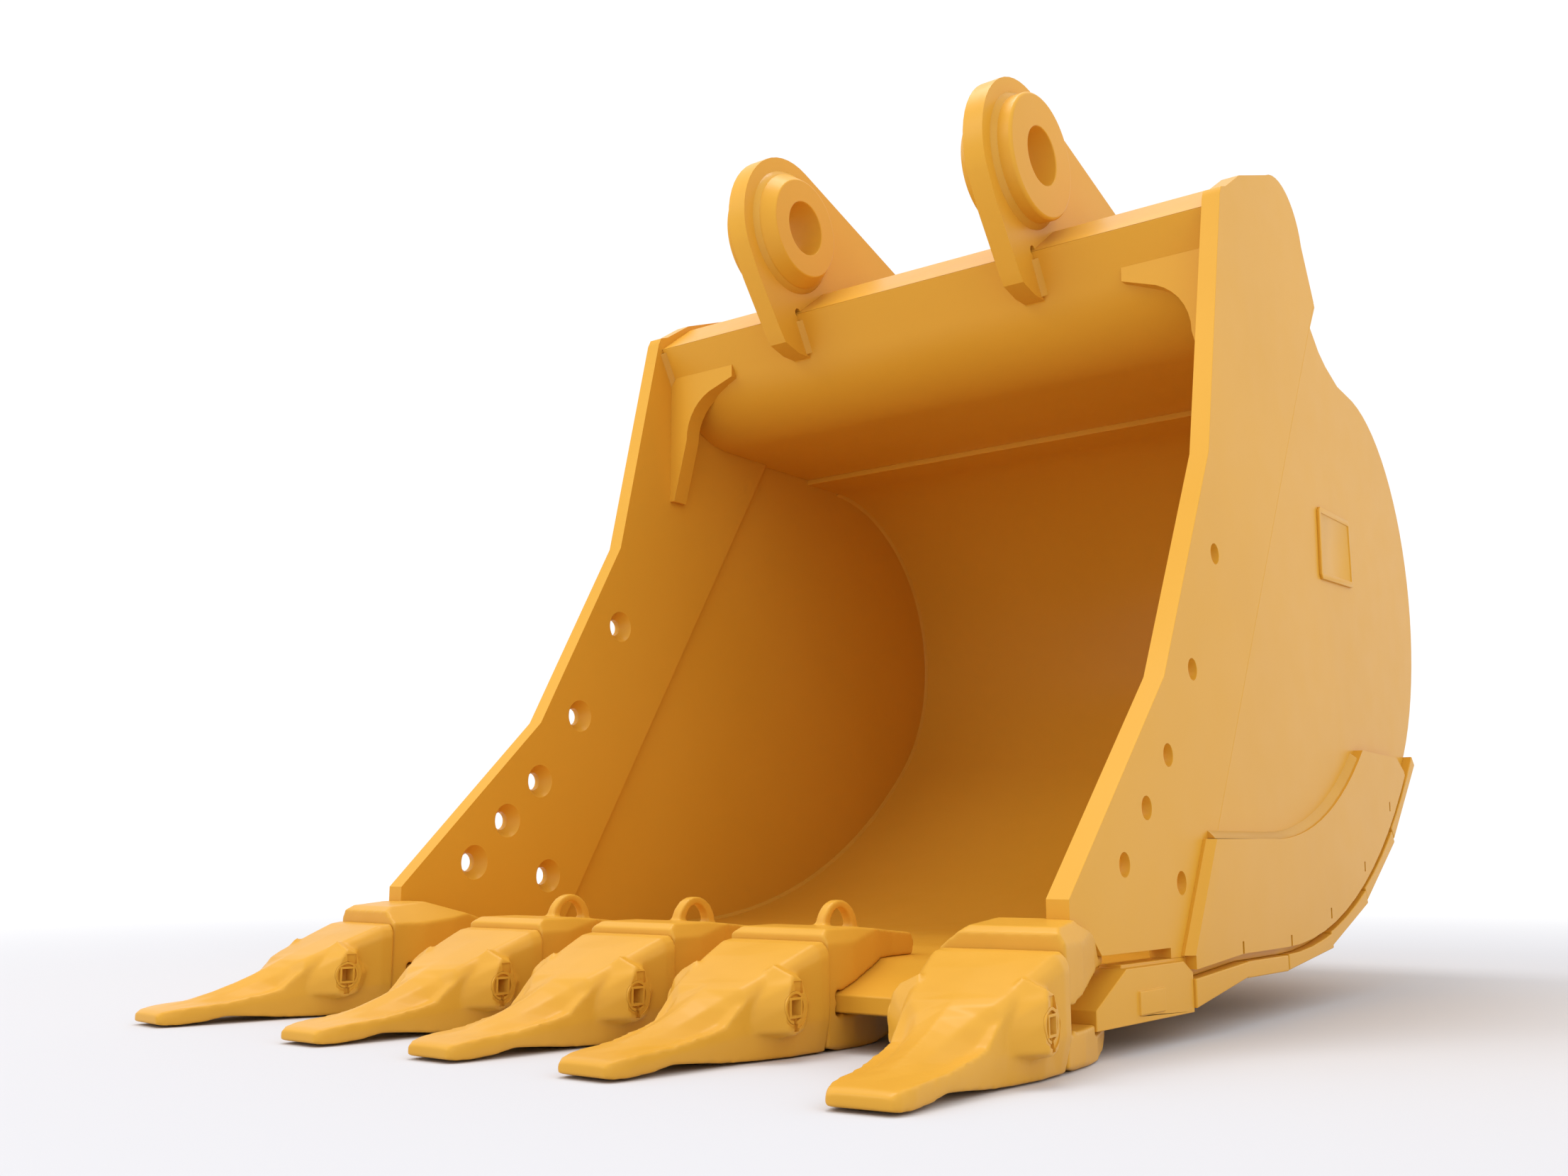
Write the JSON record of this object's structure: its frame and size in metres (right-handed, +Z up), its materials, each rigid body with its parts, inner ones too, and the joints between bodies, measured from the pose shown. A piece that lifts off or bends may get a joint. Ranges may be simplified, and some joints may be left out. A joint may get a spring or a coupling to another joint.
{
  "type": "excavator bucket",
  "caption": "Wide toothed digging bucket for a large excavator: welded shell with twin pin ears, torque tube, side bars, heel wear bars, adapters and replaceable tips with turning locks",
  "frame": {"origin": "the stick pin's centre, on the middle plane between the ears", "axes": "+X to the right across the bucket along the pins, +Y rearwards to the heel so that the mouth faces -Y, +Z up with the bucket on flat ground"},
  "size_m": [1.4254, 2.1697, 1.6652],
  "materials": {
    "plate_paint": "semi-gloss construction yellow paint on welded steel plate",
    "cast_paint": "semi-gloss construction yellow paint on cast steel"
  },
  "bodies": {
    "bucket": {"side_bar_left": "plate_paint", "side_bar_right": "plate_paint", "side_sheet_left": "plate_paint", "side_sheet_right": "plate_paint", "lip_plate": "plate_paint", "torque_tube_cover": "plate_paint", "torque_tube_rear_plate": "plate_paint", "heel_sheet": "plate_paint", "base_edge": "plate_paint", "end_block_left": "plate_paint", "end_block_right": "plate_paint", "ear_left": "plate_paint", "ear_right": "plate_paint", "stick_pin_boss_left": "plate_paint", "stick_pin_boss_right": "plate_paint", "link_pin_boss_left": "plate_paint", "link_pin_boss_right": "plate_paint", "gusset_left": "plate_paint", "gusset_right": "plate_paint", "side_wear_plate_left": "plate_paint", "side_wear_plate_right": "plate_paint", "badge_plate_left": "plate_paint", "badge_plate_right": "plate_paint", "bottom_wear_plate": "plate_paint", "heel_strip_1": "plate_paint", "heel_strip_2": "plate_paint", "heel_strip_3": "plate_paint", "heel_strip_4": "plate_paint", "heel_strip_5": "plate_paint", "adapter_1": "cast_paint", "adapter_2": "cast_paint", "adapter_3": "cast_paint", "adapter_4": "cast_paint", "adapter_5": "cast_paint", "tip_1": "cast_paint", "tip_2": "cast_paint", "tip_3": "cast_paint", "tip_4": "cast_paint", "tip_5": "cast_paint"},
    "lock_1_left": {"lock_1_left": "cast_paint"},
    "lock_1_right": {"lock_1_right": "cast_paint"},
    "lock_2_left": {"lock_2_left": "cast_paint"},
    "lock_2_right": {"lock_2_right": "cast_paint"},
    "lock_3_left": {"lock_3_left": "cast_paint"},
    "lock_3_right": {"lock_3_right": "cast_paint"},
    "lock_4_left": {"lock_4_left": "cast_paint"},
    "lock_4_right": {"lock_4_right": "cast_paint"},
    "lock_5_left": {"lock_5_left": "cast_paint"},
    "lock_5_right": {"lock_5_right": "cast_paint"}
  },
  "joints": [
    {"name": "lock_1_left_turn", "type": "hinge", "parent": "bucket", "child": "lock_1_left", "pos_m": [-0.68907, -0.79283, -1.446], "axis": [0.9936, -0.1132, 0], "range_deg": [0, 180]},
    {"name": "lock_1_right_turn", "type": "hinge", "parent": "bucket", "child": "lock_1_right", "pos_m": [-0.5301, -0.81094, -1.446], "axis": [0.9936, -0.1132, 0], "range_deg": [0, 180]},
    {"name": "lock_2_left_turn", "type": "hinge", "parent": "bucket", "child": "lock_2_left", "pos_m": [-0.344, -0.803, -1.446], "axis": [1, 0, 0], "range_deg": [0, 180]},
    {"name": "lock_2_right_turn", "type": "hinge", "parent": "bucket", "child": "lock_2_right", "pos_m": [-0.184, -0.803, -1.446], "axis": [1, 0, 0], "range_deg": [0, 180]},
    {"name": "lock_3_left_turn", "type": "hinge", "parent": "bucket", "child": "lock_3_left", "pos_m": [-0.08, -0.803, -1.446], "axis": [1, 0, 0], "range_deg": [0, 180]},
    {"name": "lock_3_right_turn", "type": "hinge", "parent": "bucket", "child": "lock_3_right", "pos_m": [0.08, -0.803, -1.446], "axis": [1, 0, 0], "range_deg": [0, 180]},
    {"name": "lock_4_left_turn", "type": "hinge", "parent": "bucket", "child": "lock_4_left", "pos_m": [0.184, -0.803, -1.446], "axis": [1, 0, 0], "range_deg": [0, 180]},
    {"name": "lock_4_right_turn", "type": "hinge", "parent": "bucket", "child": "lock_4_right", "pos_m": [0.344, -0.803, -1.446], "axis": [1, 0, 0], "range_deg": [0, 180]},
    {"name": "lock_5_left_turn", "type": "hinge", "parent": "bucket", "child": "lock_5_left", "pos_m": [0.5301, -0.81094, -1.446], "axis": [0.9936, 0.1132, 0], "range_deg": [0, 180]},
    {"name": "lock_5_right_turn", "type": "hinge", "parent": "bucket", "child": "lock_5_right", "pos_m": [0.68907, -0.79283, -1.446], "axis": [0.9936, 0.1132, 0], "range_deg": [0, 180]}
  ]
}
